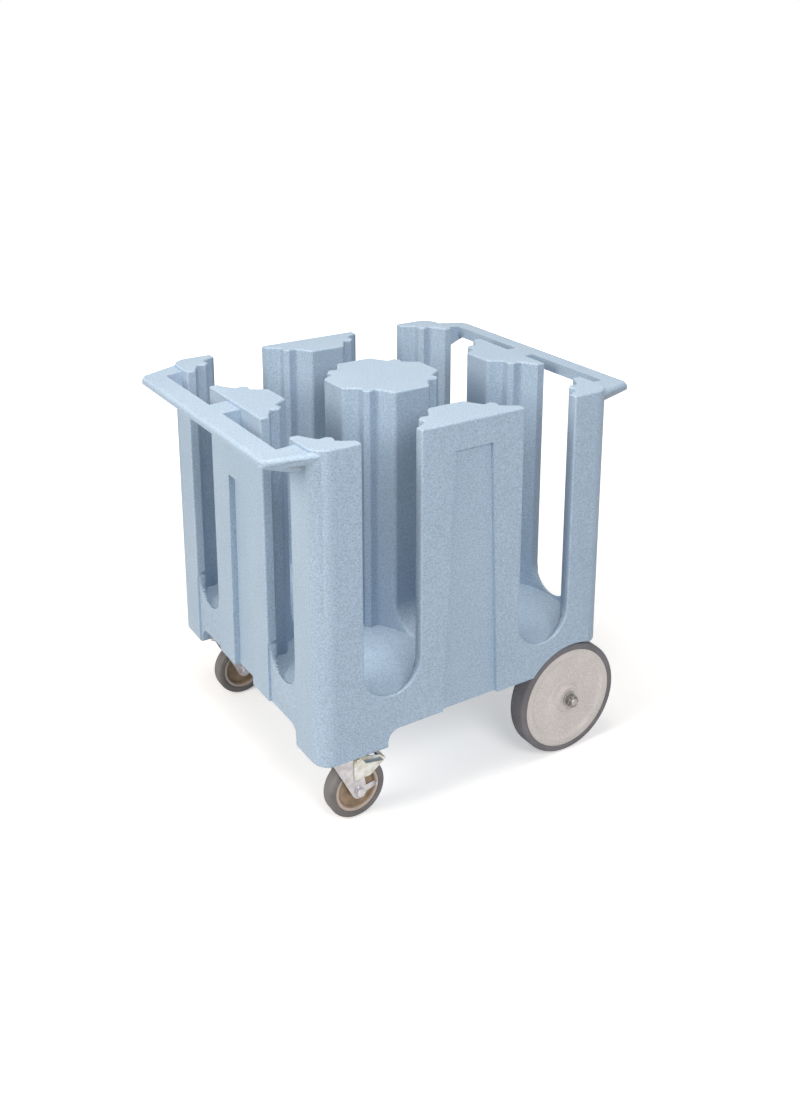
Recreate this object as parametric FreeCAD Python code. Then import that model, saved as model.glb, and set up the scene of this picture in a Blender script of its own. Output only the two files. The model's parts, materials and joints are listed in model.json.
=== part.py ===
import FreeCAD, Part
import math
import os

# Plate dispenser cart: a one-piece moulded body with four round plate wells, a push rail at each end,
# two large wheels on a fixed rear axle and two swivel casters with side brakes at the front.
# Millimetres. +Z up, +X towards the large wheels, -X towards the casters.
# The origin is on the floor, under the middle of the cart's outline.

os.makedirs("parts", exist_ok=True)
V = FreeCAD.Vector

# ---- moulded body ----
body_l = 691.0              # length along X, without the rails
body_w = 673.0              # width along Y
body_corner_r = 38.0        # plan radius of the four corners
body_top_z = 819.0          # top of the nine posts
end_wall = 8.0              # thinnest wall between a well and the end of the body
side_wall = 5.5             # thinnest wall between a well and the side of the body
well_gap_x = 63.0           # least room between two wells along X, and along Y
well_gap_y = 50.0
floor_t = 73.0              # from the body's underside up to the floor that the plates stand on
rib_proud = 15.0            # a rib's height from the well's wall
rib_tip_w = 14.0            # width at the tip
rib_root_w = 34.0           # width at the wall
side_slot_w = 128.0         # finger slots in the long sides, and the gaps in line with them
end_slot_w = 116.0          # finger slots in the ends, and the gaps in line with them
slot_sill = 3.0             # lowest point of a slot's round bottom, above the wells' floor
post_edge_r = 10.0          # upright edges of the posts, between two wells
rib_edge_r = 4.0            # upright edges of the ribs
post_top_r = 4.0            # rounded top edge of the posts
slot_edge_r = 4.0           # outer edges of the slots

side_panel_drop = 57.0      # tapered sunk panel on each side's middle post, below the post's top
side_panel_top_w = 88.0
side_panel_foot_w = 134.0
side_panel_depth = 8.0
end_panel_gap = 76.0        # sunk panel on each end's middle post, below the foot of the rail's sweep
end_panel_top_w = 76.0
end_panel_foot_w = 90.0
end_panel_depth = 13.0
band_depth = 5.0            # the end walls step back this far below the slots
over = 1.0                  # a cutter runs this far past the face it opens

# ---- corner blocks that carry the casters ----
block_l = 150.0             # along X from the end of the body
block_w = 106.0             # along Y from the side of the body
block_drop = 38.0           # below the body's underside
block_edge_r = 14.0
block_root_r = 25.0         # hollow round between a block and the underside
block_foot_r = 7.0          # round edge of a block's foot

# ---- push rails ----
rail_reach = 84.0           # from the end wall to the rail's outer edge
rail_w = 46.0               # bar width
rail_drop = 11.0            # the bar's top lies this far below the posts
rail_t = 22.0               # bar thickness
rail_edge_r = 8.0
rail_rise = 6.0             # the rail's top climbs this much from the bar to the posts
web_w = 10.0                # foot of a corner web, where it leaves the end wall
web_drop = 48.0             # that foot lies this far below the bar's top
web_inset = 64.5            # outer side of the foot, from the side of the body
rail_chamfer_x = 76.0       # slanted end of the rail, in plan
rail_chamfer_y = 38.0
rail_nose_y = 14.0          # short slant from there to the rail's outer edge
rail_bridge_w = 64.0        # joins the bar to the middle post, with the sweep under it
sweep_x_share = 0.30        # middle of the sweep's curve, as shares of its reach and rise
sweep_z_share = 0.62
flare_drop = 80.0           # the middle post starts to sweep out this far below the bar's top

# ---- rear wheels and axle ----
rear_wheel_d = 254.0
rear_tyre_w = 44.0
rear_tyre_t = 14.0          # from the rim out to the tread
wheel_end_inset = 78.5      # axle, from the end of the body
wheel_side_inset = 5.5      # outer face of the tyre, from the side of the body
rear_disc_recess = 4.5      # the web of the wheel lies this far inside its rim
rear_rim_ring_w = 13.0      # radial width of the rim ring
rear_rim_inset = 2.0        # the rim is this much narrower than the tyre, each side
rear_rim_slope = 8.0        # radial run of the slope between the web and the rim ring
rear_rim_chamfer = 1.0
rear_hub_d = 62.0
rear_hub_step_d = 96.0      # low step around the hub
rear_hub_step_t = 2.0
rear_hub_w = 50.0
rear_hub_chamfer = 2.0
rear_tyre_shoulder_r = 7.0
rear_side_play = 0.5        # between the hub and the washer on each side
arch_gap = 7.0              # between the tyre and the wheel arch
rear_corner_rise = 40.0     # bottom of the body behind the wheel, above the underside
axle_d = 16.0
axle_play = 0.1             # running clearance of the wheel bushes on the axle, on the diameter
hub_bush_wall = 2.5
leg_w = 64.0                # moulded leg around the axle, along X
leg_t = 60.0                # along Y
leg_wheel_gap = 8.0         # between the leg and the wheel's hub
sleeve_wall = 2.0           # steel sleeve in the leg
axle_washer_d = 34.0
axle_washer_t = 2.5
axle_nut_af = 24.0
axle_nut_t = 12.0
axle_thread_out = 3.0       # axle showing past a nut
axle_end_chamfer = 1.2
axle_spacer_wall = 5.0

# ---- casters ----
caster_end_inset = 75.5     # swivel axis, from the end of the body
caster_side_inset = 70.5    # the same from the side
caster_wheel_d = 127.0
crown_clear = 20.6          # between the tread and the kingpin's foot
caster_trail = 36.0         # the wheel's axle lies this far behind the swivel axis
caster_tread_w = 32.0
caster_tyre_t = 14.5        # from the wheel's core out to the tread
caster_hub_d = 34.0
caster_hub_w = 36.0
caster_web_t = 9.0
caster_rim_t = 7.0
caster_rim_inset = 1.5      # the rim is this much narrower than the tread, each side
caster_rim_slope = 2.0
caster_chamfer = 1.5
caster_shoulder_r = 6.0
plate_l = 98.0
plate_w = 66.0
plate_t = 4.0
plate_corner_r = 8.0
plate_hole_play = 0.5       # on the diameter of the bolt holes
plate_bolt_px = 76.0        # bolt pattern along X and Y
plate_bolt_py = 42.0
plate_bolt_d = 8.0
race_d = 62.0
race_t = 7.0
ball_d = 6.0
ball_count = 16
ball_circle_d = 46.0
ball_gap = 0.1              # between a ball and its races
race_split = 0.8            # open height between the two races
crown_t = 3.5
crown_race_t = 6.0          # raised lower race on the crown
fork_l = 64.0               # crown along X
fork_shift = 2.0            # the crown's middle lies this far behind the swivel axis
fork_sheet = 3.0            # leg thickness
fork_side_gap = 2.0         # between the wheel's hub and a leg
fork_foot_r = 16.5
kingpin_d = 12.0
kingpin_head_d = 22.0
kingpin_head_t = 5.0
kingpin_top_d = 18.0        # countersunk end in the plate
kingpin_play = 0.1
caster_axle_d = 10.0
bearing_sleeve_d = 14.0
hub_tube_d = 19.0           # bush in the wheel's hub
caster_play = 0.1           # running clearance on the bearing sleeve, on the diameter
insert_d = 14.0             # threaded insert moulded into the body
insert_l = 26.0
bolt_head_af = 13.0
bolt_head_t = 5.3
bolt_washer_d = 17.0
bolt_washer_t = 1.6
bolt_grip = 22.0            # bolt length above the plate
caster_head_af = 17.0       # head and nut of the wheel's axle bolt
caster_head_t = 6.4
caster_nut_t = 8.0
caster_thread_out = 3.0     # thread showing past a nut
seat_gap = 0.05             # side play of pieces that sit in or on one another

# ---- caster brake ----
brake_sheet = 2.5
brake_pivot_x = -4.0        # from the wheel's axle, plus is away from the swivel axis
brake_pin_clear = 5.5       # between the pin and the tread
brake_pin_d = 6.0
brake_pin_head_d = 11.0
brake_pin_head_t = 2.5
brake_side_gap = 0.4        # between the lever's cheeks and the fork
brake_pad_gap = 11.0        # between the pad and the tread, brake off
brake_pad_t = 5.0
brake_pad_w = 24.0
brake_pad_l = 20.0
brake_pad_angle = 50.0      # round the wheel from the +X side
brake_cheek_r = 9.0         # round the pivot
brake_cheek_drop = 42.0     # from the pivot down to the cheek's lower edge
brake_tab_w = 16.0          # foot tab on the outer cheek
brake_tab_drop = 3.0        # of the tab below the bridge
brake_bridge_spread = 7.0   # degrees each way that the cheeks reach along the bridge
strap_r = 11.0              # strap on the axle bolt
strap_neck = 2.0            # the strap's arm is this much narrower than its eye, each side
strap_l = 36.0
strap_rise = 9.0
strap_lip = 7.0

# ---- sizes worked out from those above ----
end_x = body_l / 2
side_y = body_w / 2
well_r = min(body_l - 2 * end_wall - well_gap_x, body_w - 2 * side_wall - well_gap_y) / 4
well_xs = (end_wall + well_r - end_x, end_x - end_wall - well_r)
well_ys = (side_wall + well_r - side_y, side_y - side_wall - well_r)
mid_post_y = well_ys[1] - end_slot_w / 2    # half the width of an end's middle post
leg_in = caster_hub_w / 2 + fork_side_gap   # inner face of a fork leg, from the wheel's middle
leg_out = leg_in + fork_sheet

# heights, from the caster's wheel up
caster_axle_z = caster_wheel_d / 2
crown_z = caster_wheel_d + crown_clear + kingpin_head_t + kingpin_play  # underside of the fork's crown
crown_top_z = crown_z + crown_t
crown_race_z = crown_top_z + crown_race_t   # top of the lower race
ball_z = crown_race_z + race_split / 2
race_z = crown_race_z + race_split          # underside of the upper race
plate_z = race_z + race_t                   # underside of the caster plate
block_bottom_z = plate_z + plate_t
body_floor_z = block_bottom_z + block_drop
well_floor_z = body_floor_z + floor_t
slot_bottom_z = well_floor_z + slot_sill

# heights, from the posts' tops down
rail_top_z = body_top_z - rail_drop
rail_root_z = rail_top_z + rail_rise
rail_web_z = rail_top_z - web_drop
flare_foot_z = rail_top_z - flare_drop
end_panel_top_z = flare_foot_z - end_panel_gap
side_panel_top_z = body_top_z - side_panel_drop
web_foot_y = side_y - web_inset
rail_gap_end_y = web_foot_y - web_w         # the hand gaps end here, at the corner webs

# places of the wheels and casters
axle_z = rear_wheel_d / 2
rear_rim_d = rear_wheel_d - 2 * rear_tyre_t
rear_wheel_x = end_x - wheel_end_inset
rear_wheel_outer_y = side_y - wheel_side_inset
rear_wheel_mid_y = rear_wheel_outer_y - rear_tyre_w / 2
leg_outer_y = rear_wheel_mid_y - rear_hub_w / 2 - leg_wheel_gap
arch_r = rear_wheel_d / 2 + arch_gap
rear_corner_z = body_floor_z + rear_corner_rise
sleeve_d = axle_d + axle_play + 2 * sleeve_wall
caster_x = caster_end_inset - end_x
caster_y = side_y - caster_side_inset
caster_rim_d = caster_wheel_d - 2 * caster_tyre_t
brake_pivot_z = caster_wheel_d / 2 + brake_pin_clear + brake_pin_d / 2


def box(x0, x1, y0, y1, z0, z1):
    return Part.makeBox(x1 - x0, y1 - y0, z1 - z0, V(x0, y0, z0))


def tube_z(d, z0, z1, x=0.0, y=0.0):
    return Part.makeCylinder(d / 2, z1 - z0, V(x, y, z0), V(0, 0, 1))


def rod_y(d, y0, y1, x=0.0, z=0.0):
    return Part.makeCylinder(d / 2, y1 - y0, V(x, y0, z), V(0, 1, 0))


def hexagon_y(af, y0, y1, x, z):
    corner_r = af / 2 / math.cos(math.pi / 6)
    pts = [V(x + corner_r * math.cos(math.radians(60 * i)), y0,
             z + corner_r * math.sin(math.radians(60 * i))) for i in range(7)]
    return Part.Face(Part.makePolygon(pts)).extrude(V(0, y1 - y0, 0))


def hexagon_z(af, z0, z1, x, y):
    corner_r = af / 2 / math.cos(math.pi / 6)
    pts = [V(x + corner_r * math.cos(math.radians(60 * i)),
             y + corner_r * math.sin(math.radians(60 * i)), z0) for i in range(7)]
    return Part.Face(Part.makePolygon(pts)).extrude(V(0, 0, z1 - z0))


def prism(points, direction):
    return Part.Face(Part.makePolygon([V(*p) for p in points] + [V(*points[0])])).extrude(V(*direction))


def rounded_block(half_l, half_w, r, z0, z1):
    block = box(-half_l, half_l, -half_w, half_w, z0, z1)
    upright = [e for e in block.Edges if abs(e.tangentAt(e.FirstParameter).z) > 0.99]
    return block.makeFillet(r, upright)


def save(shape, name):
    shape.exportStep("parts/" + name + ".step")


def save_group(shapes, name):
    save(Part.makeCompound(shapes), name)


# ---- moulded body ----

def u_slot(width, reach, along_x, cx, cy):
    """A slot with a half-round bottom, running both ways from its centre through the body."""
    r = width / 2
    round_z = slot_bottom_z + r
    if along_x:
        open_part = box(-reach, reach, cy - r, cy + r, round_z, body_top_z + over)
        bottom = Part.makeCylinder(r, 2 * reach, V(-reach, cy, round_z), V(1, 0, 0))
    else:
        open_part = box(cx - r, cx + r, -reach, reach, round_z, body_top_z + over)
        bottom = Part.makeCylinder(r, 2 * reach, V(cx, -reach, round_z), V(0, 1, 0))
    return open_part.fuse(bottom)


def well(cx, cy):
    """A round well with its four upright ribs left standing."""
    hole = Part.makeCylinder(well_r, body_top_z + over - well_floor_z, V(cx, cy, well_floor_z))
    tip_r = well_r - rib_proud
    root_r = well_r + over
    for i in range(4):
        a = math.radians(45 + 90 * i)
        u = V(math.cos(a), math.sin(a), 0)
        n = V(-math.sin(a), math.cos(a), 0)
        c = V(cx, cy, well_floor_z - over)
        pts = [c + u * tip_r + n * (rib_tip_w / 2), c + u * root_r + n * (rib_root_w / 2),
               c + u * root_r - n * (rib_root_w / 2), c + u * tip_r - n * (rib_tip_w / 2)]
        rib_h = body_top_z + 2 * over - c.z
        rib = Part.Face(Part.makePolygon(pts + [pts[0]])).extrude(V(0, 0, rib_h))
        hole = hole.cut(rib)
    return hole


def rail(sign):
    """Push rail on one end: bar, two corner webs, the sweep of the middle post and the bridge."""
    outer = end_x + rail_reach
    inner = outer - rail_w
    root = end_x - body_corner_r
    bar_bottom = rail_top_z - rail_t
    lip_z = bar_bottom + rail_edge_r
    nose_y = side_y - rail_chamfer_y
    low = flare_foot_z - over
    web_slope = (lip_z - rail_web_z) / rail_reach
    profile = [(root, rail_web_z - web_slope * body_corner_r), (outer, lip_z), (outer, rail_top_z),
               (root, rail_root_z)]
    plan = [(root, -side_y), (end_x + rail_chamfer_x, -nose_y), (outer, -nose_y + rail_nose_y),
            (outer, nose_y - rail_nose_y), (end_x + rail_chamfer_x, nose_y), (root, side_y)]
    slab = prism([(x, -side_y, z) for x, z in profile], (0, body_w, 0))
    slab = slab.common(prism([(x, y, low) for x, y in plan], (0, 0, body_top_z - low)))
    rim = [e for e in slab.Edges if e.BoundBox.ZMin > rail_top_z - over and e.BoundBox.XMax > root + over]
    solid = slab.makeFillet(rail_edge_r, rim)
    # the outer side of each corner web leans in to its foot on the end wall
    flare = (side_y - web_foot_y) / (rail_root_z - rail_web_z)
    taper = (web_foot_y + flare * (lip_z - rail_web_z) - nose_y) / rail_chamfer_x
    ring = ((root - over, low), (outer + over, low), (outer + over, body_top_z), (root - over, body_top_z))
    lean = prism([(x, web_foot_y + flare * (z - rail_web_z) - taper * (x - end_x), z) for x, z in ring],
                 (0, side_y, 0))
    solid = solid.cut([lean, lean.mirror(V(0, 0, 0), V(0, 1, 0))])
    # the middle of the middle post sweeps out to the bar's lower edge, and the hand gaps lie beside it
    half_w = rail_bridge_w / 2
    mid_x = end_x + sweep_x_share * rail_reach
    mid_z = flare_foot_z + sweep_z_share * (lip_z - flare_foot_z)
    corners = [V(x, -half_w, z) for x, z in
               ((outer, lip_z), (outer, lip_z + over), (root, lip_z + over), (root, flare_foot_z),
                (end_x, flare_foot_z))]
    edges = [Part.Arc(corners[4], V(mid_x, -half_w, mid_z), corners[0]).toShape()]
    edges += [Part.makeLine(p, q) for p, q in zip(corners[:4], corners[1:])]
    sweep = Part.Face(Part.Wire(edges)).extrude(V(0, rail_bridge_w, 0))
    open_y = ((half_w, rail_gap_end_y), (-rail_gap_end_y, -half_w))
    solid = solid.cut([box(end_x, outer + over, y0, y1, low, bar_bottom) for y0, y1 in open_y])
    solid = solid.cut([box(root - over, inner, y0, y1, low, body_top_z) for y0, y1 in open_y])
    solid = solid.fuse(sweep)
    if sign < 0:
        solid = solid.mirror(V(0, 0, 0), V(1, 0, 0))
    return solid


def caster_block(sign):
    """A corner of the body drawn down to carry a caster plate."""
    x1 = -end_x + block_l
    y0 = side_y - block_w
    foot = box(-end_x - over, x1, y0, side_y + over, block_bottom_z, body_floor_z + over)
    inner_edge = [e for e in foot.Edges if e.BoundBox.ZLength > over
                  and e.BoundBox.XMax > x1 - over and e.BoundBox.YMin < y0 + over]
    foot = foot.makeFillet(block_edge_r, inner_edge)
    foot = foot.common(rounded_block(end_x, side_y, body_corner_r, block_bottom_z - over,
                                     body_floor_z + 2 * over))
    if sign < 0:
        foot = foot.mirror(V(0, 0, 0), V(0, 1, 0))
    return foot


def block_on_corners():
    """The body's plain block with its two caster blocks, their hollow roots and round feet."""
    shape = rounded_block(end_x, side_y, body_corner_r, body_floor_z, body_top_z)
    shape = shape.fuse([caster_block(1), caster_block(-1)]).removeSplitter()
    root = [e for e in shape.Edges
            if abs(e.BoundBox.ZMin - body_floor_z) < over and e.BoundBox.ZLength < over
            and over < e.CenterOfMass.x + end_x < block_l + over
            and over < side_y - abs(e.CenterOfMass.y) < block_w + over]
    shape = shape.makeFillet(block_root_r, root)
    feet = [e for e in shape.Edges if e.BoundBox.ZMax < block_bottom_z + over]
    return shape.makeFillet(block_foot_r, feet)


def axle_leg(sign):
    """Moulded leg that hangs from the body and holds the axle beside a wheel."""
    y0 = leg_outer_y - leg_t
    leg = box(rear_wheel_x - leg_w / 2, rear_wheel_x + leg_w / 2, y0, leg_outer_y,
              axle_z, body_floor_z + over)
    leg = leg.fuse(rod_y(leg_w, y0, leg_outer_y, rear_wheel_x, axle_z))
    if sign < 0:
        leg = leg.mirror(V(0, 0, 0), V(0, 1, 0))
    return leg


def wheel_arch(sign):
    y0 = leg_outer_y
    arch = rod_y(2 * arch_r, y0, side_y + over, rear_wheel_x, axle_z)
    corner = box(rear_wheel_x, end_x + over, y0, side_y + over, body_floor_z - over, rear_corner_z)
    arch = arch.fuse(corner)
    if sign < 0:
        arch = arch.mirror(V(0, 0, 0), V(0, 1, 0))
    return arch


def side_panel(sign):
    y = sign * side_y
    pts = [(-side_panel_top_w / 2, y, side_panel_top_z), (side_panel_top_w / 2, y, side_panel_top_z),
           (side_panel_foot_w / 2, y, body_floor_z - over), (-side_panel_foot_w / 2, y, body_floor_z - over)]
    return prism([(px, py - sign * side_panel_depth, pz) for px, py, pz in pts],
                 (0, sign * (side_panel_depth + over), 0))


def end_panel(sign):
    x = sign * end_x
    pts = [(x, -end_panel_top_w / 2, end_panel_top_z), (x, end_panel_top_w / 2, end_panel_top_z),
           (x, end_panel_foot_w / 2, body_floor_z - over), (x, -end_panel_foot_w / 2, body_floor_z - over)]
    return prism([(px - sign * end_panel_depth, py, pz) for px, py, pz in pts],
                 (sign * (end_panel_depth + over), 0, 0))


def end_band(sign_x, sign_y):
    """Step back of the end wall below a slot, down to the underside and past the caster block's root."""
    y0, y1 = sorted((sign_y * mid_post_y, sign_y * (mid_post_y + end_slot_w)))
    x0, x1 = sorted((sign_x * (end_x - band_depth), sign_x * (end_x + over)))
    return box(x0, x1, y0, y1, block_bottom_z - over, slot_bottom_z + end_slot_w / 2)


def slotted_block():
    """The block with its slots cut and their outlines rounded on the four outer faces."""
    shape = block_on_corners()
    slots = [u_slot(side_slot_w, side_y + over, False, x, 0) for x in well_xs]
    slots += [u_slot(end_slot_w, end_x + over, True, 0, y) for y in well_ys]
    shape = shape.cut(slots)
    rims = []
    for e in shape.Edges:
        c = e.CenterOfMass
        flat = e.BoundBox.XLength < seat_gap or e.BoundBox.YLength < seat_gap
        on_side = abs(abs(c.y) - side_y) < seat_gap and abs(abs(c.x) - well_xs[1]) < side_slot_w / 2 + over
        on_end = abs(abs(c.x) - end_x) < seat_gap and abs(abs(c.y) - well_ys[1]) < end_slot_w / 2 + over
        inside_height = c.z < body_top_z - over and e.BoundBox.ZMin > slot_bottom_z - over
        if flat and inside_height and (on_side or on_end):
            rims.append(e)
    return shape.makeFillet(slot_edge_r, rims)


def body():
    outer = slotted_block().fuse([axle_leg(1), axle_leg(-1), rail(1), rail(-1)])
    cutters = [well(x, y) for x in well_xs for y in well_ys]
    cutters += [end_band(sx, sy) for sx in (-1, 1) for sy in (-1, 1)]
    cutters += [wheel_arch(1), wheel_arch(-1)]
    cutters += [side_panel(1), side_panel(-1), end_panel(1), end_panel(-1)]
    return outer.cut(cutters)


def is_upright(edge):
    return (abs(edge.tangentAt(edge.FirstParameter).z) > 0.999
            and abs(edge.tangentAt(edge.LastParameter).z) > 0.999
            and edge.BoundBox.ZMax > body_top_z - over)


def rib_tip_edges(shape):
    """The two upright edges at the tip of each rib."""
    found = []
    for e in shape.Edges:
        if is_upright(e) and e.BoundBox.ZMin < slot_bottom_z:
            c = e.CenterOfMass
            from_well = math.hypot(abs(c.x) - well_xs[1], abs(c.y) - well_ys[1])
            if from_well < well_r - rib_proud / 2:
                found.append(e)
    return found


def post_nose_edges(shape):
    """The upright edges where a post's nose meets the well's wall, between two wells."""
    nose_x = well_xs[1] - math.sqrt(well_r ** 2 - (end_slot_w / 2) ** 2)
    nose_y = well_ys[1] - math.sqrt(well_r ** 2 - (side_slot_w / 2) ** 2)
    found = []
    for e in shape.Edges:
        if is_upright(e) and e.BoundBox.ZMin > slot_bottom_z:
            c = e.CenterOfMass
            if abs(abs(c.x) - nose_x) < over or abs(abs(c.y) - nose_y) < over:
                found.append(e)
    return found


def finished_body():
    shape = body().Solids[0]
    shape = shape.makeFillet(rib_edge_r, rib_tip_edges(shape)).Solids[0]
    shape = shape.makeFillet(post_edge_r, post_nose_edges(shape)).Solids[0]
    top = [e for e in shape.Edges if e.BoundBox.ZMin > body_top_z - over]
    shape = shape.makeFillet(post_top_r, top).Solids[0]
    holes = [tube_z(insert_d + seat_gap, block_bottom_z - over, block_bottom_z + insert_l, x, y)
             for x, y in plate_bolt_places()]
    holes += [rod_y(sleeve_d + seat_gap, y0 - over, y1 + over, rear_wheel_x, axle_z)
              for y0, y1 in leg_spans()]
    return shape.cut(holes).Solids[0]


# ---- rear axle and wheels ----

def leg_spans():
    return ((leg_outer_y - leg_t, leg_outer_y), (-leg_outer_y, -leg_outer_y + leg_t))


def ring_y(outer_d, inner_d, y0, y1, x, z):
    return rod_y(outer_d, y0, y1, x, z).cut(rod_y(inner_d, y0 - over, y1 + over, x, z))


def revolve_y(points, x, z):
    """Turn a closed outline of (radius, y) points about the line along Y through x, z."""
    wire = Part.makePolygon([V(x + r, y, z) for r, y in points + [points[0]]])
    return Part.Face(wire).revolve(V(x, 0, z), V(0, 1, 0), 360)


def both_sides(make):
    """The piece on the +Y side and its twin on the -Y side."""
    piece = make()
    return [piece, piece.mirror(V(0, 0, 0), V(0, 1, 0))]


hub_face_y = rear_wheel_mid_y + rear_hub_w / 2
hub_back_y = rear_wheel_mid_y - rear_hub_w / 2
washer_y = hub_face_y + rear_side_play
nut_y = washer_y + axle_washer_t
axle_end_y = nut_y + axle_nut_t + axle_thread_out
inner_washer_y = hub_back_y - rear_side_play - axle_washer_t
hub_bush_d = axle_d + axle_play + 2 * hub_bush_wall


def rear_axle():
    rod = rod_y(axle_d, -axle_end_y, axle_end_y, rear_wheel_x, axle_z)
    ends = [e for e in rod.Edges if e.BoundBox.YLength < axle_end_chamfer]
    return rod.makeChamfer(axle_end_chamfer, ends)


def axle_washer(y0):
    return ring_y(axle_washer_d, axle_d + axle_play, y0, y0 + axle_washer_t, rear_wheel_x, axle_z)


def axle_nut():
    nut = hexagon_y(axle_nut_af, nut_y, nut_y + axle_nut_t, rear_wheel_x, axle_z)
    return nut.cut(rod_y(axle_d + axle_play, nut_y - over, nut_y + axle_nut_t + over, rear_wheel_x, axle_z))


def axle_spacer():
    bore = axle_d + axle_play
    return ring_y(bore + 2 * axle_spacer_wall, bore, leg_outer_y, inner_washer_y, rear_wheel_x, axle_z)


def axle_sleeve():
    return ring_y(sleeve_d, axle_d + axle_play, leg_outer_y - leg_t, leg_outer_y, rear_wheel_x, axle_z)


def rear_wheel_disc():
    m = rear_wheel_mid_y
    rim_half = rear_tyre_w / 2 - rear_rim_inset
    web_half = rim_half - rear_disc_recess
    rim_r = rear_rim_d / 2
    rim_in = rim_r - rear_rim_ring_w
    step_half = web_half + rear_hub_step_t
    hub_r = rear_hub_d / 2
    step_r = rear_hub_step_d / 2
    half = [((hub_bush_d + seat_gap) / 2, rear_hub_w / 2), (hub_r - rear_hub_chamfer, rear_hub_w / 2),
            (hub_r, rear_hub_w / 2 - rear_hub_chamfer), (hub_r + rear_hub_chamfer, step_half),
            (step_r - rear_hub_chamfer, step_half), (step_r + rear_hub_chamfer, web_half),
            (rim_in - rear_rim_slope, web_half), (rim_in, rim_half),
            (rim_r - rear_rim_chamfer, rim_half), (rim_r, rim_half - rear_rim_chamfer)]
    outline = [(r, m + y) for r, y in half] + [(r, m - y) for r, y in reversed(half)]
    return revolve_y(outline, rear_wheel_x, axle_z)


def tyre(outer_d, inner_d, width, shoulder_r, mid_y, x, z):
    """A solid tyre with flat sides and rounded shoulders."""
    ro, ri, w = outer_d / 2, inner_d / 2, width / 2
    sh = shoulder_r
    k = sh * (1 - math.cos(math.pi / 4))
    p = [V(x + ri, mid_y - w, z), V(x + ro - sh, mid_y - w, z), V(x + ro - k, mid_y - w + k, z),
         V(x + ro, mid_y - w + sh, z), V(x + ro, mid_y + w - sh, z), V(x + ro - k, mid_y + w - k, z),
         V(x + ro - sh, mid_y + w, z), V(x + ri, mid_y + w, z)]
    edges = [Part.makeLine(p[0], p[1]), Part.Arc(p[1], p[2], p[3]).toShape(), Part.makeLine(p[3], p[4]),
             Part.Arc(p[4], p[5], p[6]).toShape(), Part.makeLine(p[6], p[7]), Part.makeLine(p[7], p[0])]
    return Part.Face(Part.Wire(edges)).revolve(V(x, 0, z), V(0, 1, 0), 360)


def rear_tyre():
    return tyre(rear_wheel_d, rear_rim_d, rear_tyre_w, rear_tyre_shoulder_r, rear_wheel_mid_y,
                rear_wheel_x, axle_z)


def rear_hub_bush():
    return ring_y(hub_bush_d, axle_d + axle_play, hub_back_y, hub_face_y, rear_wheel_x, axle_z)


# ---- casters: made about the swivel axis at x 0, y 0, and moved to their places ----

def plate_bolt_places():
    return [(caster_x + sx * plate_bolt_px / 2, sy * caster_y + ty * plate_bolt_py / 2)
            for sy in (-1, 1) for sx in (-1, 1) for ty in (-1, 1)]


def ball_groove():
    return Part.makeTorus(ball_circle_d / 2, ball_d / 2 + ball_gap, V(0, 0, ball_z))


def caster_plate():
    plate = box(-plate_l / 2, plate_l / 2, -plate_w / 2, plate_w / 2, plate_z, block_bottom_z)
    corners = [e for e in plate.Edges if e.BoundBox.ZLength > plate_t / 2]
    plate = plate.makeFillet(plate_corner_r, corners)
    holes = [tube_z(plate_bolt_d + plate_hole_play, plate_z - over, block_bottom_z + over,
                    sx * plate_bolt_px / 2, sy * plate_bolt_py / 2) for sx in (-1, 1) for sy in (-1, 1)]
    holes.append(tube_z(kingpin_d + seat_gap, plate_z - over, block_bottom_z + over))
    holes.append(tube_z(kingpin_top_d + seat_gap, block_bottom_z - plate_t / 2, block_bottom_z + over))
    return plate.cut(holes)


def upper_race():
    race = tube_z(race_d, race_z, plate_z)
    return race.cut([tube_z(kingpin_d + seat_gap, race_z - over, plate_z + over), ball_groove()])


def race_balls():
    return [Part.makeSphere(ball_d / 2, V(ball_circle_d / 2 * math.cos(2 * math.pi * i / ball_count),
                                          ball_circle_d / 2 * math.sin(2 * math.pi * i / ball_count), ball_z))
            for i in range(ball_count)]


def kingpin():
    top_head = tube_z(kingpin_top_d, block_bottom_z - plate_t / 2, block_bottom_z - seat_gap)
    shank = tube_z(kingpin_d, crown_z - kingpin_play, block_bottom_z - seat_gap)
    foot_head = tube_z(kingpin_head_d, crown_z - kingpin_play - kingpin_head_t, crown_z - kingpin_play)
    return top_head.fuse([shank, foot_head])


def tangent_point(px, pz, cx, cz, r, turn):
    """Where a line from a point touches a circle; turn is 1 or -1 for the two sides."""
    dx, dz = px - cx, pz - cz
    a = math.atan2(dz, dx) + turn * math.acos(r / math.hypot(dx, dz))
    return cx + r * math.cos(a), cz + r * math.sin(a)


def fork_leg(y0):
    """Leg profile: wide at the crown, slanting in to a round foot at the wheel's axle."""
    ax, az = caster_trail, caster_axle_z
    front = fork_shift - fork_l / 2
    back = fork_shift + fork_l / 2
    ear_x = ax + brake_pivot_x + brake_cheek_r
    tx, tz = tangent_point(front, crown_top_z, ax, az, fork_foot_r, 1)
    right = (ax + fork_foot_r, az)
    foot = Part.Arc(V(tx, y0, tz), V(ax, y0, az - fork_foot_r), V(right[0], y0, right[1])).toShape()
    p_front = V(front, y0, crown_top_z)
    p_back = V(back, y0, crown_top_z)
    p_ear = V(max(ear_x, back), y0, az + brake_pivot_z - brake_cheek_r)
    edges = [Part.makeLine(p_front, V(tx, y0, tz)), foot, Part.makeLine(V(right[0], y0, right[1]), p_ear),
             Part.makeLine(p_ear, p_back), Part.makeLine(p_back, p_front)]
    return Part.Face(Part.Wire(edges)).extrude(V(0, fork_sheet, 0))


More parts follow.
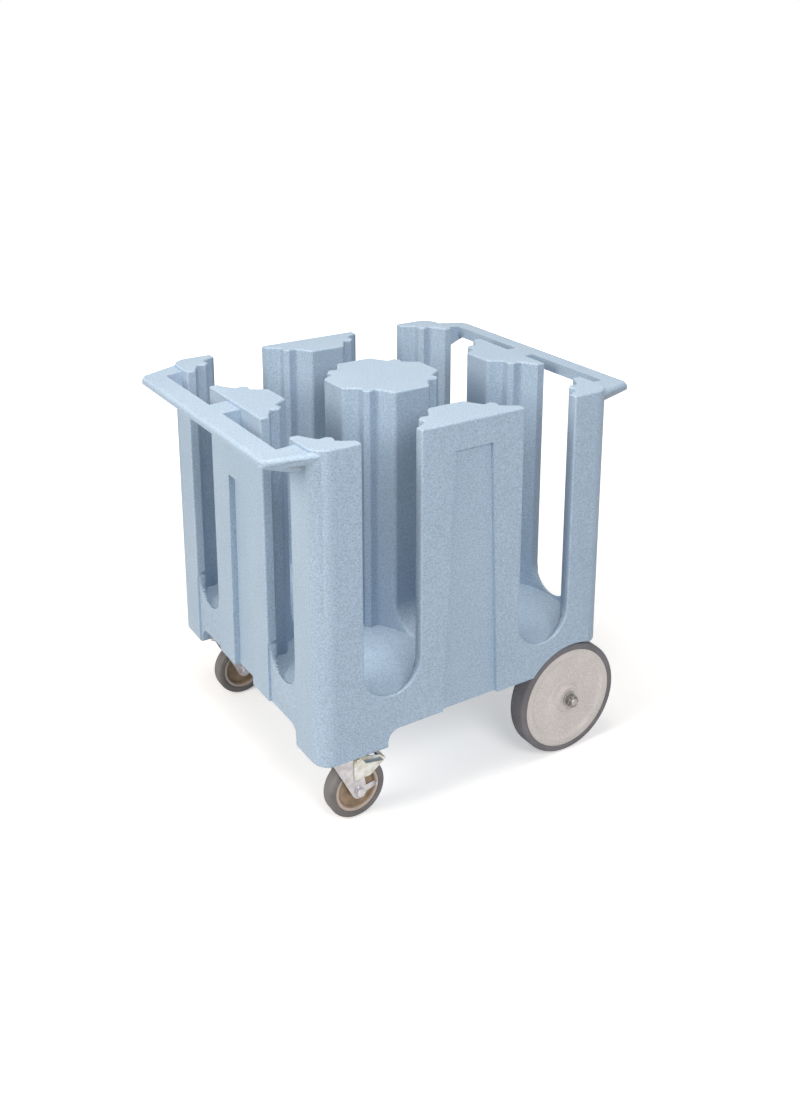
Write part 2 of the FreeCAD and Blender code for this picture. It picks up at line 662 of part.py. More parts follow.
def fork():
    crown = box(fork_shift - fork_l / 2, fork_shift + fork_l / 2, -leg_out, leg_out, crown_z, crown_top_z)
    race = tube_z(race_d, crown_z, crown_race_z)
    solid = crown.fuse([race, fork_leg(leg_in), fork_leg(-leg_out)])
    cuts = [tube_z(kingpin_d + kingpin_play, crown_z - over, crown_race_z + over), ball_groove(),
            rod_y(caster_axle_d + seat_gap, -leg_out - over, leg_out + over, caster_trail, caster_axle_z),
            rod_y(brake_pin_d + seat_gap, -leg_out - over, leg_out + over, caster_trail + brake_pivot_x,
                  caster_axle_z + brake_pivot_z)]
    return solid.cut(cuts)


strap_y = -leg_out - brake_sheet


def axle_strap():
    """Steel strap on the axle bolt, outside the fork, with an outward lip at its end."""
    ax, az = caster_trail, caster_axle_z
    eye = rod_y(2 * strap_r, strap_y, -leg_out, ax, az)
    end_x1, end_z1 = ax + strap_l, az + strap_rise
    arm = prism([(ax, strap_y, az - strap_r + strap_neck), (end_x1, strap_y, end_z1 - strap_r / 2),
                 (end_x1, strap_y, end_z1 + strap_r / 2), (ax, strap_y, az + strap_r - strap_neck)],
                (0, brake_sheet, 0))
    lip = box(end_x1 - brake_sheet, end_x1, strap_y - strap_lip, strap_y + brake_sheet,
              end_z1 - strap_r / 2, end_z1 + strap_r / 2)
    return eye.fuse([arm, lip]).cut(rod_y(caster_axle_d + seat_gap, strap_y - over, 0, ax, az))


def caster_axle_bolt():
    ax, az = caster_trail, caster_axle_z
    head = hexagon_y(caster_head_af, strap_y - caster_head_t, strap_y, ax, az)
    return head.fuse(rod_y(caster_axle_d, strap_y - over, leg_out + caster_nut_t + caster_thread_out, ax, az))


def caster_axle_nut():
    ax, az = caster_trail, caster_axle_z
    nut = hexagon_y(caster_head_af, leg_out, leg_out + caster_nut_t, ax, az)
    return nut.cut(rod_y(caster_axle_d + seat_gap, 0, leg_out + caster_nut_t + over, ax, az))


def bearing_sleeve():
    return ring_y(bearing_sleeve_d, caster_axle_d + seat_gap, -leg_in, leg_in, caster_trail, caster_axle_z)


def wheel_bush():
    return ring_y(hub_tube_d, bearing_sleeve_d + caster_play, -caster_hub_w / 2, caster_hub_w / 2,
                  caster_trail, caster_axle_z)


def caster_core():
    rim_half = caster_tread_w / 2 - caster_rim_inset
    web = caster_web_t / 2
    rim_r = caster_rim_d / 2
    rim_in = rim_r - caster_rim_t
    hub_r = caster_hub_d / 2
    half = [((hub_tube_d + seat_gap) / 2, caster_hub_w / 2), (hub_r - caster_chamfer, caster_hub_w / 2),
            (hub_r, caster_hub_w / 2 - caster_chamfer), (hub_r + caster_rim_slope, web),
            (rim_in - caster_rim_slope, web), (rim_in, rim_half), (rim_r, rim_half)]
    outline = half + [(r, -y) for r, y in reversed(half)]
    return revolve_y(outline, caster_trail, caster_axle_z)


def caster_tyre():
    return tyre(caster_wheel_d, caster_rim_d, caster_tread_w, caster_shoulder_r, 0,
                caster_trail, caster_axle_z)


cheek_in = leg_out + brake_side_gap
cheek_out = cheek_in + brake_sheet
pad_in_r = caster_wheel_d / 2 + brake_pad_gap
pad_out_r = pad_in_r + brake_pad_t
pivot_x = caster_trail + brake_pivot_x
pivot_z = caster_axle_z + brake_pivot_z


def on_wheel(r, angle):
    """A point round the wheel's axle."""
    a = math.radians(angle)
    return caster_trail + r * math.cos(a), caster_axle_z + r * math.sin(a)


def tilted_block(r0, r1, length, half_y):
    """A block square to the wheel's radius at the brake pad's angle."""
    block = box(r0, r1, -half_y, half_y, -length / 2, length / 2)
    block.rotate(V(0, 0, 0), V(0, 1, 0), -brake_pad_angle)
    block.translate(V(caster_trail, 0, caster_axle_z))
    return block


def brake_cheek(y0):
    top_x, top_z = on_wheel(pad_out_r + brake_sheet, brake_pad_angle + brake_bridge_spread)
    low_x, low_z = on_wheel(pad_out_r + brake_sheet, brake_pad_angle - brake_bridge_spread)
    pts = [(pivot_x - brake_cheek_r, pivot_z - brake_cheek_drop), (pivot_x - brake_cheek_r, pivot_z),
           (pivot_x, pivot_z + brake_cheek_r), (top_x, top_z), (low_x, low_z),
           (pivot_x + 3 * brake_cheek_r, pivot_z - brake_cheek_drop)]
    return prism([(x, y0, z) for x, z in pts], (0, brake_sheet, 0))


def brake_lever():
    """Pressed lever: two cheeks outside the fork, a bridge over the tread and a foot tab."""
    bridge = tilted_block(pad_out_r, pad_out_r + brake_sheet, brake_pad_l, cheek_out)
    top_x, top_z = on_wheel(pad_out_r + brake_sheet, brake_pad_angle + brake_bridge_spread)
    tab_x = pivot_x + brake_cheek_r
    tab_z = top_z - brake_tab_drop
    root_z = pivot_z + brake_sheet / 2
    pts = [(tab_x, root_z), (top_x, tab_z), (top_x, tab_z - brake_sheet), (tab_x, root_z - brake_sheet)]
    tab = prism([(x, -cheek_out - brake_tab_w, z) for x, z in pts], (0, brake_tab_w + brake_sheet, 0))
    solid = bridge.fuse([brake_cheek(cheek_in), brake_cheek(-cheek_out), tab])
    bore = brake_pin_d + caster_play
    return solid.cut(rod_y(bore, -cheek_out - over, cheek_out + over, pivot_x, pivot_z))


def brake_pad():
    return tilted_block(pad_in_r, pad_out_r, brake_pad_l - 2 * brake_sheet, brake_pad_w / 2)


def brake_pin():
    reach = cheek_out + brake_side_gap
    rod = rod_y(brake_pin_d, -reach, reach, pivot_x, pivot_z)
    heads = [rod_y(brake_pin_head_d, y0, y0 + brake_pin_head_t, pivot_x, pivot_z)
             for y0 in (reach, -reach - brake_pin_head_t)]
    return rod.fuse(heads)


def plate_bolt(x, y):
    head_z = plate_z - bolt_washer_t
    head = hexagon_z(bolt_head_af, head_z - bolt_head_t, head_z, x, y)
    return head.fuse(tube_z(plate_bolt_d, head_z - over, block_bottom_z + bolt_grip, x, y))


def plate_washer(x, y):
    bore = tube_z(plate_bolt_d + plate_hole_play, plate_z - bolt_washer_t - over, plate_z + over, x, y)
    return tube_z(bolt_washer_d, plate_z - bolt_washer_t, plate_z, x, y).cut(bore)


def threaded_insert(x, y):
    bore = tube_z(plate_bolt_d + seat_gap, block_bottom_z - over, block_bottom_z + bolt_grip + over, x, y)
    return tube_z(insert_d, block_bottom_z, block_bottom_z + insert_l, x, y).cut(bore)


# ---- write every piece ----

save(finished_body(), "body_shell")
save_group([threaded_insert(x, y) for x, y in plate_bolt_places()], "caster_threaded_inserts")
save_group([plate_bolt(x, y) for x, y in plate_bolt_places()], "caster_plate_bolts")
save_group([plate_washer(x, y) for x, y in plate_bolt_places()], "caster_plate_washers")

save(rear_axle(), "rear_axle")
save_group(both_sides(axle_sleeve), "rear_axle_sleeves")
save_group(both_sides(axle_spacer), "rear_axle_spacers")
save_group(both_sides(lambda: axle_washer(inner_washer_y)) + both_sides(lambda: axle_washer(washer_y)),
           "rear_axle_washers")
save_group(both_sides(axle_nut), "rear_axle_nuts")
for make, name in ((rear_wheel_disc, "rear_wheel_disc"), (rear_tyre, "rear_tyre"),
                   (rear_hub_bush, "rear_hub_bush")):
    right, left = both_sides(make)
    save(right, name + "_right")
    save(left, name + "_left")

caster_pieces = {"caster_plate": caster_plate, "caster_upper_race": upper_race, "caster_kingpin": kingpin,
                 "caster_fork": fork, "caster_axle_strap": axle_strap, "caster_axle_bolt": caster_axle_bolt,
                 "caster_axle_nut": caster_axle_nut, "caster_bearing_sleeve": bearing_sleeve,
                 "caster_wheel_bush": wheel_bush, "caster_wheel_core": caster_core,
                 "caster_tyre": caster_tyre, "brake_lever": brake_lever, "brake_pad": brake_pad,
                 "brake_pivot_pin": brake_pin}
for side, y in (("left", -caster_y), ("right", caster_y)):
    place = V(caster_x, y, 0)
    for name, make in caster_pieces.items():
        piece = make()
        piece.translate(place)
        save(piece, name + "_" + side)
    balls = race_balls()
    for ball in balls:
        ball.translate(place)
    save_group(balls, "caster_race_balls_" + side)
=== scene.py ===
import json
import math

import bmesh
import bpy
import numpy as np
from mathutils import Matrix, Vector

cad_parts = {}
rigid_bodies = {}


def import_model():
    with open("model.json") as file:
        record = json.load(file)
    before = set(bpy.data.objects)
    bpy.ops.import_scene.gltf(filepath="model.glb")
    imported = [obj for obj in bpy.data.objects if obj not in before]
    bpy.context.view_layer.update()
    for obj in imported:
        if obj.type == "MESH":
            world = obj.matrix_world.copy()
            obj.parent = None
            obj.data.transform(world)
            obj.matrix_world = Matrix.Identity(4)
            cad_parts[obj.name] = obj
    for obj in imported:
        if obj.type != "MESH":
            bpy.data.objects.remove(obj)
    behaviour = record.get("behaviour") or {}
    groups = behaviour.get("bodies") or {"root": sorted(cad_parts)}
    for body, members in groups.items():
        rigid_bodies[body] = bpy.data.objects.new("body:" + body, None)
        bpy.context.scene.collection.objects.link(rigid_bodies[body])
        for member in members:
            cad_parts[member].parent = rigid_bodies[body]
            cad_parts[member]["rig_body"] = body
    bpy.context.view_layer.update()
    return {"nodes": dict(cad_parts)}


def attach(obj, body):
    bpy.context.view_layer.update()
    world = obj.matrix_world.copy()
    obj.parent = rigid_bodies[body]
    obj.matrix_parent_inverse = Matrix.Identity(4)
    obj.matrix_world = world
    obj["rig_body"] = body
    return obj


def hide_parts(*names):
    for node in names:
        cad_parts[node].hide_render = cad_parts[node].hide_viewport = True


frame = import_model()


# ---------------------------------------------------------------------------------------------
# Studio. A pale floor that keeps the cart's soft shadow, with a painted glow seen only by the camera that is
# weaker near the cart and brightens the floor to white further out, an even pale surround, a lamp overhead,
# a broad one over the caster end and one high in front. The camera stands where the photograph's did.

def new_material(name):
    """An empty node material with its Principled shader wired to the output."""
    material = bpy.data.materials.new(name)
    material.use_nodes = True
    tree = material.node_tree
    return material, tree.nodes, tree.links, tree.nodes["Principled BSDF"]


floor_half = 30.0
floor_tone = 0.82
fade_near, fade_far = 0.6, 3.0          # distances from the cart's middle over which the floor's painted glow grows
painted_glow_near, painted_glow_far = 0.42, 1.0         # light that the floor adds to itself there, for the camera only
surround_light, surround_seen = 0.24, 1.0
floor_mesh = bpy.data.meshes.new("studio_floor")
floor_mesh.from_pydata([(-floor_half, -floor_half, 0), (floor_half, -floor_half, 0),
                        (floor_half, floor_half, 0), (-floor_half, floor_half, 0)], [], [(0, 1, 2, 3)])
studio_floor = bpy.data.objects.new("studio_floor", floor_mesh)
bpy.context.scene.collection.objects.link(studio_floor)

floor_paint, nodes, links, shader = new_material("pale_floor")
shader.inputs["Base Color"].default_value = (floor_tone, floor_tone, floor_tone, 1)
shader.inputs["Roughness"].default_value = 0.9
shader.inputs["Specular IOR Level"].default_value = 0.1
shader.inputs["Emission Color"].default_value = (1, 1, 1, 1)
# Painted glow: the floor's emission, for camera rays only, grows with distance from the cart's middle, so the
# floor looks darker around the cart and white further out.
spot = nodes.new("ShaderNodeTexCoord")
from_cart = nodes.new("ShaderNodeVectorMath")
from_cart.operation = "LENGTH"
fade = nodes.new("ShaderNodeMapRange")
fade.inputs["From Min"].default_value = fade_near
fade.inputs["From Max"].default_value = fade_far
fade.inputs["To Min"].default_value = painted_glow_near
fade.inputs["To Max"].default_value = painted_glow_far
seen = nodes.new("ShaderNodeLightPath")
painted_glow = nodes.new("ShaderNodeMath")
painted_glow.operation = "MULTIPLY"
links.new(spot.outputs["Object"], from_cart.inputs[0])
links.new(from_cart.outputs["Value"], fade.inputs["Value"])
links.new(seen.outputs["Is Camera Ray"], painted_glow.inputs[0])
links.new(fade.outputs[0], painted_glow.inputs[1])
links.new(painted_glow.outputs[0], shader.inputs["Emission Strength"])
floor_mesh.materials.append(floor_paint)

surround = bpy.data.worlds.new("pale_surround")
surround.use_nodes = True
bpy.context.scene.world = surround
nodes, links = surround.node_tree.nodes, surround.node_tree.links
sky = nodes["Background"]
sky.inputs["Color"].default_value = (1, 1, 1, 1)
seen = nodes.new("ShaderNodeLightPath")
either = nodes.new("ShaderNodeMath")
either.operation = "MAXIMUM"
links.new(seen.outputs["Is Camera Ray"], either.inputs[0])
links.new(seen.outputs["Is Glossy Ray"], either.inputs[1])
level = nodes.new("ShaderNodeMapRange")
level.inputs["To Min"].default_value = surround_light
level.inputs["To Max"].default_value = surround_seen
links.new(either.outputs[0], level.inputs["Value"])
links.new(level.outputs[0], sky.inputs["Strength"])


def soft_lamp(name, place, aim, size, watts, colour):
    """A square area lamp at a place, turned to face its aim."""
    data = bpy.data.lights.new(name, "AREA")
    data.size = size
    data.energy = watts
    data.color = colour
    lamp = bpy.data.objects.new(name, data)
    lamp.location = place
    lamp.rotation_euler = (Vector(aim) - Vector(place)).to_track_quat("-Z", "Y").to_euler()
    bpy.context.scene.collection.objects.link(lamp)


warm_white = (1.0, 0.915, 0.82)
soft_lamp("overhead", (-0.3, -0.3, 3.1), (0, 0, 0.5), 1.1, 41.0, warm_white)
soft_lamp("over_caster_end", (-2.95, -0.15, 2.2), (0, 0, 0.5), 1.6, 77.0, warm_white)
soft_lamp("high_front", (-0.6, -3.2, 2.8), (0, 0, 0.4), 1.6, 69.0, (1.0, 0.985, 0.98))

# The camera's facts come from the cart's outline in an 800 by 1120 picture.
picture_w, picture_h = 800, 1120
view_azimuth, view_elevation, view_roll = -31.581, 15.32, -0.233
view_distance, focal_px = 2.4762, 1175.02
axis_px, axis_py = 381.87, 336.0
view_target = Vector((0, 0, 0.9029))
a, e, r = (math.radians(v) for v in (view_azimuth, view_elevation, view_roll))
back = Vector((math.sin(a) * math.cos(e), -math.cos(a) * math.cos(e), math.sin(e)))
right = (-back).cross(Vector((0, 0, 1))).normalized()
up = right.cross(-back)
side = right * math.cos(r) + up * math.sin(r)
top = up * math.cos(r) - right * math.sin(r)
camera_data = bpy.data.cameras.new("photograph_view")
camera_data.sensor_width = 36.0
camera_data.lens = focal_px / picture_h * camera_data.sensor_width
camera_data.shift_x = (picture_w / 2 - axis_px) / picture_h
camera_data.shift_y = (axis_py - picture_h / 2) / picture_h
camera = bpy.data.objects.new("photograph_view", camera_data)
pose = Matrix((side, top, back)).transposed().to_4x4()
pose.translation = view_target + back * view_distance
camera.matrix_world = pose
bpy.context.scene.collection.objects.link(camera)
bpy.context.scene.camera = camera
bpy.context.scene.view_settings.view_transform = "Standard"


# ---------------------------------------------------------------------------------------------
# The moulded body. One hollow rotational moulding in pale blue-grey polyethylene: nine posts, four
# ribbed wells, two push rails. Its skin is matt with a faint orange peel and a fine speckle.

join_distance = 2e-6
# In degrees: faces that turn less than the first are one flat face, edges that turn more than the second
# stay sharp.
body_flat, body_corner = 0.05, 32.0
hardware_flat, hardware_corner = 0.4, 35.0


def merged_copy(node, flat):
    """A CAD node's mesh copied, its loose triangles joined and its flat faces made whole, as a new object.

    Triangles that turn by less than the flat angle in degrees become one face.
    """
    mesh = frame["nodes"][node].data.copy()
    mesh.materials.clear()
    work = bmesh.new()
    work.from_mesh(mesh)
    bmesh.ops.remove_doubles(work, verts=work.verts, dist=join_distance)
    bmesh.ops.dissolve_limit(work, angle_limit=math.radians(flat), verts=work.verts, edges=work.edges)
    work.to_mesh(mesh)
    work.free()
    piece = bpy.data.objects.new(node + "_finished", mesh)
    bpy.context.scene.collection.objects.link(piece)
    return piece


def shaded(piece, corner):
    """Smooth shading up to a corner angle in degrees, with the large faces kept flat."""
    piece.data.shade_smooth()
    piece.data.set_sharp_from_angle(angle=math.radians(corner))
    normals = piece.modifiers.new("flat_faces", "WEIGHTED_NORMAL")
    normals.mode = "FACE_AREA"
    normals.keep_sharp = True
    normals.weight = 90


def stands_for(piece, node, material):
    """The piece takes a CAD node's place and body and wears the material; the node is hidden."""
    piece.data.materials.clear()
    piece.data.materials.append(material)
    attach(piece, frame["nodes"][node]["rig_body"])
    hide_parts(node)


def group_of(name, inputs, outputs):
    """An empty shader node group; inputs are (name, kind, value) and outputs are (name, kind)."""
    group = bpy.data.node_groups.new(name, "ShaderNodeTree")
    for label, kind, value in inputs:
        socket = group.interface.new_socket(label, in_out="INPUT", socket_type="NodeSocket" + kind)
        socket.default_value = value
    for label, kind in outputs:
        group.interface.new_socket(label, in_out="OUTPUT", socket_type="NodeSocket" + kind)
    return group, group.nodes.new("NodeGroupInput"), group.nodes.new("NodeGroupOutput")


# Two tones drift into one another, a fine speckle rides on them, and the fine grain gives the height
# and moves the gloss.
finish_group, given, result = group_of(
    "grained_finish",
    [("Tone A", "Color", (0.5, 0.5, 0.5, 1)), ("Tone B", "Color", (0.4, 0.4, 0.4, 1)),
     ("Drift Scale", "Float", 6.0), ("Grain Scale", "Float", 400.0), ("Speckle", "Float", 0.05),
     ("Rough Low", "Float", 0.4), ("Rough High", "Float", 0.6)],
    [("Color", "Color"), ("Roughness", "Float"), ("Height", "Float")])
nodes, links = finish_group.nodes, finish_group.links
place = nodes.new("ShaderNodeTexCoord")
drift = nodes.new("ShaderNodeTexNoise")
drift.inputs["Detail"].default_value = 5.0
grain = nodes.new("ShaderNodeTexNoise")
grain.inputs["Detail"].default_value = 3.0
links.new(place.outputs["Object"], drift.inputs["Vector"])
links.new(place.outputs["Object"], grain.inputs["Vector"])
links.new(given.outputs["Drift Scale"], drift.inputs["Scale"])
links.new(given.outputs["Grain Scale"], grain.inputs["Scale"])
spread = nodes.new("ShaderNodeMapRange")
spread.inputs["From Min"].default_value = 0.35
spread.inputs["From Max"].default_value = 0.65
links.new(drift.outputs["Fac"], spread.inputs["Value"])
tones = nodes.new("ShaderNodeMix")
tones.data_type = "RGBA"
links.new(spread.outputs[0], tones.inputs["Factor"])
links.new(given.outputs["Tone A"], tones.inputs["A"])
links.new(given.outputs["Tone B"], tones.inputs["B"])
speck = nodes.new("ShaderNodeMath")
speck.operation = "SUBTRACT"
speck.inputs[1].default_value = 0.5
links.new(grain.outputs["Fac"], speck.inputs[0])
speck_by = nodes.new("ShaderNodeMath")
speck_by.operation = "MULTIPLY_ADD"
speck_by.inputs[2].default_value = 1.0
links.new(speck.outputs[0], speck_by.inputs[0])
links.new(given.outputs["Speckle"], speck_by.inputs[1])
specked = nodes.new("ShaderNodeVectorMath")
specked.operation = "SCALE"
links.new(tones.outputs["Result"], specked.inputs[0])
links.new(speck_by.outputs[0], specked.inputs["Scale"])
links.new(specked.outputs["Vector"], result.inputs["Color"])
gloss = nodes.new("ShaderNodeMapRange")
links.new(grain.outputs["Fac"], gloss.inputs["Value"])
links.new(given.outputs["Rough Low"], gloss.inputs["To Min"])
links.new(given.outputs["Rough High"], gloss.inputs["To Max"])
links.new(gloss.outputs[0], result.inputs["Roughness"])
links.new(grain.outputs["Fac"], result.inputs["Height"])


def finished(name, tone_a, tone_b, drift=6.0, grain=400.0, speckle=0.2, rough=(0.4, 0.6), bump=0.1,
             depth=0.0002, metallic=0.0, specular=0.5):
    """A material built on the grained finish."""
    material, nodes, links, shader = new_material(name)
    finish = nodes.new("ShaderNodeGroup")
    finish.node_tree = finish_group
    finish.inputs["Tone A"].default_value = (*tone_a, 1)
    finish.inputs["Tone B"].default_value = (*tone_b, 1)
    finish.inputs["Drift Scale"].default_value = drift
    finish.inputs["Grain Scale"].default_value = grain
    finish.inputs["Speckle"].default_value = speckle
    finish.inputs["Rough Low"].default_value = rough[0]
    finish.inputs["Rough High"].default_value = rough[1]
    bumps = nodes.new("ShaderNodeBump")
    bumps.inputs["Strength"].default_value = bump
    bumps.inputs["Distance"].default_value = depth
    links.new(finish.outputs["Color"], shader.inputs["Base Color"])
    links.new(finish.outputs["Roughness"], shader.inputs["Roughness"])
    links.new(finish.outputs["Height"], bumps.inputs["Height"])
    links.new(bumps.outputs["Normal"], shader.inputs["Normal"])
    shader.inputs["Metallic"].default_value = metallic
    shader.inputs["Specular IOR Level"].default_value = specular
    return material


body_skin = finished("moulded_polyethylene", (0.356, 0.466, 0.592), (0.330, 0.442, 0.572), drift=5.0,
                     grain=310.0, speckle=1.0, rough=(0.42, 0.62), bump=0.5, depth=0.0006, specular=0.45)
body = merged_copy("body_shell", body_flat)
shaded(body, body_corner)
stands_for(body, "body_shell", body_skin)


# ---------------------------------------------------------------------------------------------
# Rear axle and its fixings. Zinc-plated rod with a washer, hex nut and spacer at each end, and a
# steel sleeve pressed into each moulded leg.

bevel_steps = 2


def softened(node, width):
    """A merged copy of a CAD node with its edges rounded."""
    piece = merged_copy(node, hardware_flat)
    rounding = piece.modifiers.new("rounding", "BEVEL")
    rounding.width = width
    rounding.segments = bevel_steps
    rounding.limit_method = "ANGLE"
    rounding.angle_limit = math.radians(hardware_corner)
    rounding.use_clamp_overlap = True
    piece.data.shade_smooth()
    piece.data.set_sharp_from_angle(angle=math.radians(hardware_corner))
    return piece


zinc = finished("bright_zinc", (0.70, 0.69, 0.71), (0.52, 0.51, 0.54), drift=70.0, grain=900.0,
                rough=(0.24, 0.42), bump=0.2, depth=0.0001, metallic=1.0)
dull_zinc = finished("dull_zinc", (0.56, 0.55, 0.52), (0.42, 0.42, 0.42), drift=60.0, grain=700.0,
                     rough=(0.35, 0.55), bump=0.2, depth=0.0001, metallic=1.0)
worn_zinc = finished("worn_zinc", (0.46, 0.44, 0.42), (0.17, 0.16, 0.15), drift=190.0, grain=900.0,
                     rough=(0.35, 0.60), bump=0.4, depth=0.0002, metallic=1.0)
axle_fixings = (("rear_axle", 0.0008, dull_zinc), ("rear_axle_sleeves", 0.0004, dull_zinc),
                ("rear_axle_spacers", 0.0004, dull_zinc), ("rear_axle_washers", 0.0004, dull_zinc),
                ("rear_axle_nuts", 0.0006, worn_zinc))
for node, width, finish in axle_fixings:
    stands_for(softened(node, width), node, finish)


# ---------------------------------------------------------------------------------------------
# Large wheels. A pale moulded disc with a raised rim ring, a shallow dish and a round hub boss, a
# solid dark grey tyre with a bead line and a parting line, and a plastic bush in the hub.

def rounded_outline(corners, steps=5):
    """A closed outline from (radius, y, fillet) corners; each corner becomes an arc of its fillet.

    With unit vectors a and b from the corner to its neighbours and half their angle h, the arc starts
    fillet / tan(h) along a, ends as far along b, and bends about corner + fillet / sin(h) on the bisector.
    """
    points = np.array([c[:2] for c in corners])
    outline = []
    for i, (r0, y0, fillet) in enumerate(corners):
        corner = np.array((r0, y0))
        if fillet == 0:
            outline.append(corner)
            continue
        a = points[i - 1] - corner
        b = points[(i + 1) % len(points)] - corner
        a, b = a / np.linalg.norm(a), b / np.linalg.norm(b)
        half = math.acos(float(np.clip(a @ b, -1, 1))) / 2
        middle = corner + (a + b) / np.linalg.norm(a + b) * fillet / math.sin(half)
        start = corner + a * fillet / math.tan(half) - middle
        end = corner + b * fillet / math.tan(half) - middle
        swing = math.pi - 2 * half
        for k in range(steps + 1):
            s = k / steps
            bend = start * math.sin((1 - s) * swing) + end * math.sin(s * swing)
            outline.append(middle + bend / math.sin(swing))
    return np.array(outline)


def ring_mesh(name, rings):
    """A closed surface from an array of rings of points (ring, point, xyz) that joins up both ways."""
    n, m = rings.shape[:2]
    i, j = np.meshgrid(np.arange(n), np.arange(m), indexing="ij")
    quads = np.stack([i * m + j, i * m + (j + 1) % m, (i + 1) % n * m + (j + 1) % m, (i + 1) % n * m + j],
                     axis=-1)
    mesh = bpy.data.meshes.new(name)
    mesh.vertices.add(n * m)
    mesh.vertices.foreach_set("co", rings.astype(np.float32).ravel())
    mesh.loops.add(4 * n * m)
    mesh.loops.foreach_set("vertex_index", quads.astype(np.int32).ravel())
    mesh.polygons.add(n * m)
    mesh.polygons.foreach_set("loop_start", np.arange(0, 4 * n * m, 4, dtype=np.int32))
    mesh.update(calc_edges=True)
    work = bmesh.new()
    work.from_mesh(mesh)
    bmesh.ops.recalc_face_normals(work, faces=work.faces)
    work.to_mesh(mesh)
    work.free()
    piece = bpy.data.objects.new(name, mesh)
    bpy.context.scene.collection.objects.link(piece)
    return piece


def turned(name, outline, x, z, turns=144):
    """A ring turned about the line along Y through x, z: x + r cos t, y, z + r sin t, t once round."""
    t = np.linspace(0, 2 * math.pi, turns, endpoint=False)[:, None]
    radius, y = outline[:, 0], outline[:, 1]
    rings = np.stack([x + radius * np.cos(t), np.broadcast_to(y, (turns, len(y))), z + radius * np.sin(t)],
                     axis=-1)
    piece = ring_mesh(name, rings)
    piece.data.shade_smooth()
    piece.data.set_sharp_from_angle(angle=math.radians(hardware_corner))
    return piece


mm = 0.001
large_x, large_z, large_y = 267.0, 127.0, 309.0     # axle, and the middle of a large wheel
bush_r = 10.55                                      # outside of the bush in the hub


def two_faced(half):
    """An outline with the same corners on both faces, from those of the outer face."""
    return half + [(radius, -y, fillet) for radius, y, fillet in reversed(half)]


def placed(outline, middle, hand):
    """The outline in metres, round a wheel's middle on the left (-Y) or right side."""
    shift = -middle if hand == "left" else middle
    return (outline + np.array((0.0, shift))) * mm


disc_outline = rounded_outline(two_faced([
    (bush_r + 0.03, 23.6, 0), (24.0, 23.6, 0.8), (25.5, 25.0, 0.8), (29.4, 25.0, 1.2), (32.0, 17.5, 2.0),
    (46.0, 17.5, 1.5), (49.5, 15.5, 2.5), (91.0, 15.5, 4.0), (98.5, 19.8, 2.0), (112.95, 20.0, 1.0)]))
tyre_outline = rounded_outline(two_faced([
    (113.05, 19.6, 0), (113.05, 20.8, 0.4), (114.6, 21.9, 0.6), (118.0, 21.9, 4.0), (127.0, 21.6, 7.0),
    (127.0, 0.9, 0.5), (126.8, 0.45, 0.2)]))
disc_plastic = finished("pale_wheel_plastic", (0.640, 0.610, 0.600), (0.585, 0.552, 0.540), drift=16.0,
                        grain=420.0, speckle=0.8, rough=(0.45, 0.65), bump=0.35, depth=0.0004, specular=0.4)
tyre_grey = finished("grey_tyre_rubber", (0.185, 0.180, 0.198), (0.150, 0.146, 0.160), drift=20.0,
                     grain=600.0, speckle=0.8, rough=(0.55, 0.80), bump=0.35, depth=0.0004, specular=0.35)
bush_plastic = finished("bush_plastic", (0.46, 0.43, 0.39), (0.40, 0.38, 0.34), drift=40.0, grain=900.0,
                        rough=(0.35, 0.5), bump=0.1)
for hand in ("left", "right"):
    disc = turned("large_wheel_disc_" + hand, placed(disc_outline, large_y, hand),
                  large_x * mm, large_z * mm)
    stands_for(disc, "rear_wheel_disc_" + hand, disc_plastic)
    tyre = turned("large_wheel_tyre_" + hand, placed(tyre_outline, large_y, hand),
                  large_x * mm, large_z * mm)
    stands_for(tyre, "rear_tyre_" + hand, tyre_grey)
    stands_for(softened("rear_hub_bush_" + hand, 0.0003), "rear_hub_bush_" + hand, bush_plastic)


# ---------------------------------------------------------------------------------------------
# Caster mounting. A zinc-plated plate under each corner block, four bolts and washers into
# threaded brass inserts, the fixed upper race with its balls, and the kingpin.

brass = finished("dull_brass", (0.62, 0.44, 0.18), (0.50, 0.36, 0.16), drift=60.0, grain=900.0,
                 rough=(0.35, 0.5), metallic=1.0)
stands_for(softened("caster_threaded_inserts", 0.0003), "caster_threaded_inserts", brass)
for node in ("caster_plate_bolts", "caster_plate_washers"):
    stands_for(softened(node, 0.0004), node, dull_zinc)
for hand in ("left", "right"):
    for node in ("caster_plate_", "caster_upper_race_", "caster_kingpin_"):
        stands_for(softened(node + hand, 0.0005), node + hand, zinc)
    frame["nodes"]["caster_race_balls_" + hand].data.materials.clear()
    frame["nodes"]["caster_race_balls_" + hand].data.materials.append(dull_zinc)


# ---------------------------------------------------------------------------------------------
# Caster forks and wheels. Pressed zinc-plated fork, amber-brown core with a painted highlight near
# its rim, dark grey tread, and the axle bolt with its nut and hooked strap.

small_x, small_z, small_y = -234.0, 63.5, 266.0     # a caster wheel's axle and middle
core_turns = 112
highlight_inner, highlight_outer = 0.0405, 0.0435               # radii over which the painted highlight on the core's rim lip fades in
highlight_share, highlight_tone = 0.8, (0.55, 0.46, 0.42, 1)
core_brown = finished("amber_brown_core", (0.38, 0.280, 0.185), (0.27, 0.195, 0.125), drift=60.0, grain=700.0,
                      speckle=0.5, rough=(0.28, 0.45), bump=0.15)
nodes, links = core_brown.node_tree.nodes, core_brown.node_tree.links
shader = nodes["Principled BSDF"]
plain = shader.inputs["Base Color"].links[0].from_socket
